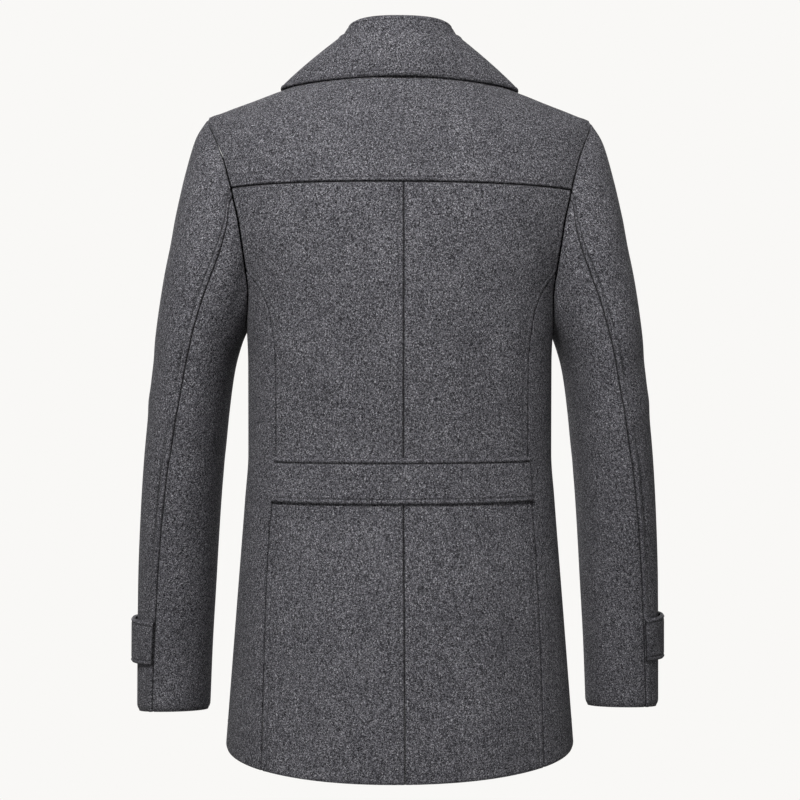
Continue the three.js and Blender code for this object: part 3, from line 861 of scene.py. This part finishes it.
def sleeve_normal(angle, ring):
    around = sleeve_ellipse(angle + 0.01, ring) - sleeve_ellipse(angle - 0.01, ring)
    fall = sleeve_ellipse(angle, ring + 0.02) - sleeve_ellipse(angle, ring - 0.02)
    return fall.cross(around).normalized()


def tab_stand(q):
    return TAB_CLEAR + TAB_LIFT * math.sin(math.pi * min(1, q * 1.15)) ** 2


def tab_place(u, v):
    taper = 1 - TAB_POINT_CUT * max(0, u - TAB_POINT_AT) / (1 - TAB_POINT_AT)
    ring = (TAB_TOP + TAB_BOTTOM) / 2 + (TAB_BOTTOM - TAB_TOP) / 2 * taper * (2 * v - 1)
    angle = tab_angle(u, ring)
    return sleeve_ellipse(angle, ring) + sleeve_normal(angle, ring) * (tab_stand(u) + STRAP_WALL)


for side_name, put, sign in (("left", tab_place, 1), ("right", mirror_place(tab_place), -1)):
    tab = sew_panel(
        "cloth_cuff_tab_" + side_name, shares(135, 3.5), shares(49, 3), put,
        {"left": "seam", "right": "edge stitched", "top": "edge stitched", "bottom": "edge stitched"},
        from_sleeve(sign), wall=STRAP_WALL)

# The buttons: four down the front and one on each cuff tab, turned from grey horn with a raised rim, and
# sewn on through four holes.
FRONT_BUTTONS = [118, 250, 382, 514]
BUTTON_RADIUS = 13
TAB_BUTTON_RADIUS = 9.5
TAB_BUTTON_AT = 0.86
BUTTON_RIM = table(
    "out up",
    (0, 0.15), (0.8, 0), (0.94, 0.35), (1, 1.0), (1, 2.3), (0.95, 3.0), (0.87, 3.3), (0.79, 3.1),
    (0.7, 2.45), (0.5, 2.2), (0, 2.1),
)
horn, polished = new_finish("grey_horn")
horn_place = node(horn.node_tree, "ShaderNodeTexCoord").outputs["Object"]
grain = node(horn.node_tree, "ShaderNodeTexNoise", {"Scale": 260, "Detail": 3, "Distortion": 1.5}, {
    "Vector": horn_place})
grained = node(horn.node_tree, "ShaderNodeValToRGB", links={"Fac": grain.outputs["Fac"]})
grained.color_ramp.elements[0].color = linear("1c1b1d")
grained.color_ramp.elements[0].position = 0.35
grained.color_ramp.elements[1].color = linear("4b494c")
grained.color_ramp.elements[1].position = 0.7
horn.node_tree.links.new(grained.outputs["Color"], polished.inputs["Base Color"])
polished.inputs["Roughness"].default_value = 0.32
hole_finish, hole = new_finish("button_hole_shadow")
hole.inputs["Base Color"].default_value = linear("050505")
thread_finish, spun = new_finish("spun_polyester_thread")
spun.inputs["Base Color"].default_value = linear("333337")
spun.inputs["Roughness"].default_value = 0.6


def sew_button(name, radius, place, normal):
    bm = bmesh.new()
    verts = [bm.verts.new((row["out"] * radius, 0, row["up"])) for row in BUTTON_RIM]
    edges = [bm.edges.new(pair) for pair in zip(verts, verts[1:])]
    bmesh.ops.spin(bm, geom=verts + edges, cent=(0, 0, 0), axis=(0, 0, 1), angle=2 * math.pi, steps=40,
                   use_merge=True)
    bmesh.ops.remove_doubles(bm, verts=bm.verts, dist=0.001)
    bmesh.ops.recalc_face_normals(bm, faces=bm.faces)
    for face in bm.faces:
        face.smooth = True
    done = set(bm.faces)
    apart = radius * 0.2
    for x, y in ((apart, apart), (-apart, apart), (apart, -apart), (-apart, -apart)):
        bmesh.ops.create_circle(bm, cap_ends=True, segments=14, radius=radius * 0.1,
                                matrix=Matrix.Translation((x, y, 2.24)))
    for face in set(bm.faces) - done:
        face.material_index = 1
        if face.normal.z < 0:
            face.normal_flip()
    done = set(bm.faces)
    for turn in (math.pi / 4, -math.pi / 4):
        spot = Matrix.Translation((0, 0, 2.45)) @ Matrix.Rotation(turn, 4, "Z")
        for aside in (-0.35, 0.35):
            size = Matrix.Diagonal((apart * 1.42, 0.32, 0.38, 1))
            bmesh.ops.create_icosphere(bm, subdivisions=2, radius=1,
                                       matrix=spot @ Matrix.Translation((0, aside, 0)) @ size)
    for face in set(bm.faces) - done:
        face.material_index = 2
        face.smooth = True
    turn = normal.to_track_quat("Z", "Y").to_matrix().to_4x4()
    put = Matrix.Scale(0.001, 4) @ Matrix.Translation(place) @ turn
    bmesh.ops.transform(bm, matrix=put, verts=bm.verts)
    mesh = bpy.data.meshes.new(name)
    bm.to_mesh(mesh)
    bm.free()
    button = add_object(name, mesh)
    for finish in (horn, hole_finish, thread_finish):
        mesh.materials.append(finish)
    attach(button, "root")
    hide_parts(name.replace("sewn_", ""))


for number, down in enumerate(FRONT_BUTTONS, 1):
    normal = body_normal(math.pi, down)
    sew_button(f"sewn_button_front_{number}", BUTTON_RADIUS,
               body_point(math.pi, down) + normal * (FRONT_LIFT + 0.6), normal)
for side_name, sign in (("left", 1), ("right", -1)):
    ring = (TAB_TOP + TAB_BOTTOM) / 2
    angle = tab_angle(TAB_BUTTON_AT, ring)
    normal = sleeve_normal(angle, ring)
    place = sleeve_ellipse(angle, ring) + normal * (tab_stand(TAB_BUTTON_AT) + STRAP_WALL + 0.5)
    sew_button("sewn_button_cuff_" + side_name, TAB_BUTTON_RADIUS,
               Vector((place.x * sign, place.y, place.z)), Vector((normal.x * sign, normal.y, normal.z)))

# The topstitching: one grey thread a little darker than the cloth, in stitches of four millimetres,
# each a small swelling of thread that sinks into the cloth at its ends.
STITCH = 3.1
STITCH_PITCH = 4.0
THREAD = 0.42
THREAD_LIFT = 0.08
thread_mesh = bmesh.new()
for line in stitch_lines:
    travelled, due = 0.0, 2.0
    sewn = bmesh.new()
    for (a, na), (b, nb) in zip(line, line[1:]):
        step = (b - a).length
        if step < 1e-6:
            continue
        while due < travelled + step:
            q = (due - travelled) / step
            normal = na.lerp(nb, q).normalized()
            along = (b - a).normalized()
            side = along.cross(normal).normalized()
            turn = Matrix((along, side, normal)).transposed().to_4x4()
            spot = Matrix.Translation(a.lerp(b, q) + normal * THREAD_LIFT)
            size = Matrix.Diagonal((STITCH / 2, THREAD / 2 * 1.1, THREAD / 2, 1))
            bmesh.ops.create_icosphere(sewn, subdivisions=1, radius=1, matrix=spot @ turn @ size)
            due += STITCH_PITCH
        travelled += step
    row = bpy.data.meshes.new("row_of_stitches")
    sewn.to_mesh(row)
    sewn.free()
    thread_mesh.from_mesh(row)
    bpy.data.meshes.remove(row)
bmesh.ops.scale(thread_mesh, verts=thread_mesh.verts, vec=(0.001, 0.001, 0.001))
for face in thread_mesh.faces:
    face.smooth = True
thread_data = bpy.data.meshes.new("topstitching")
thread_mesh.to_mesh(thread_data)
thread_mesh.free()
thread = add_object("topstitching", thread_data)
thread_data.materials.append(thread_finish)
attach(thread, "root")
